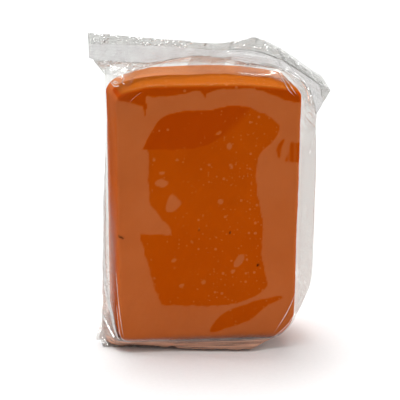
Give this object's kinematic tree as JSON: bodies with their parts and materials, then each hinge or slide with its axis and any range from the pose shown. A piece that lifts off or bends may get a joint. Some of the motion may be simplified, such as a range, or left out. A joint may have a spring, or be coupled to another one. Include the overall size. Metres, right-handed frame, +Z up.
{
  "type": "clay bar",
  "caption": "Block of detailing clay heat-sealed in a clear film flow wrap, standing on its folded bottom seal.",
  "frame": {"origin": "middle of the flat underside of the folded bottom seal, below the middle of the clay block", "axes": "+Z up, the bar's long way; +X to the right seen from the front; the broad front face looks along -Y"},
  "size_m": [0.0691, 0.0292, 0.0909],
  "materials": {
    "clay": "satin",
    "film": "gloss",
    "film_weld": "gloss"
  },
  "bodies": {
    "root": {"clay_block": "clay", "film_sleeve": "film", "side_slack": "film", "top_gather": "film", "bottom_gather": "film", "top_seal_skirt": "film", "bottom_left_ear": "film", "top_seal_band": "film_weld", "seal_hanging_end": "film_weld", "back_fin_seam": "film_weld", "bottom_end_seal": "film_weld"}
  },
  "joints": []
}
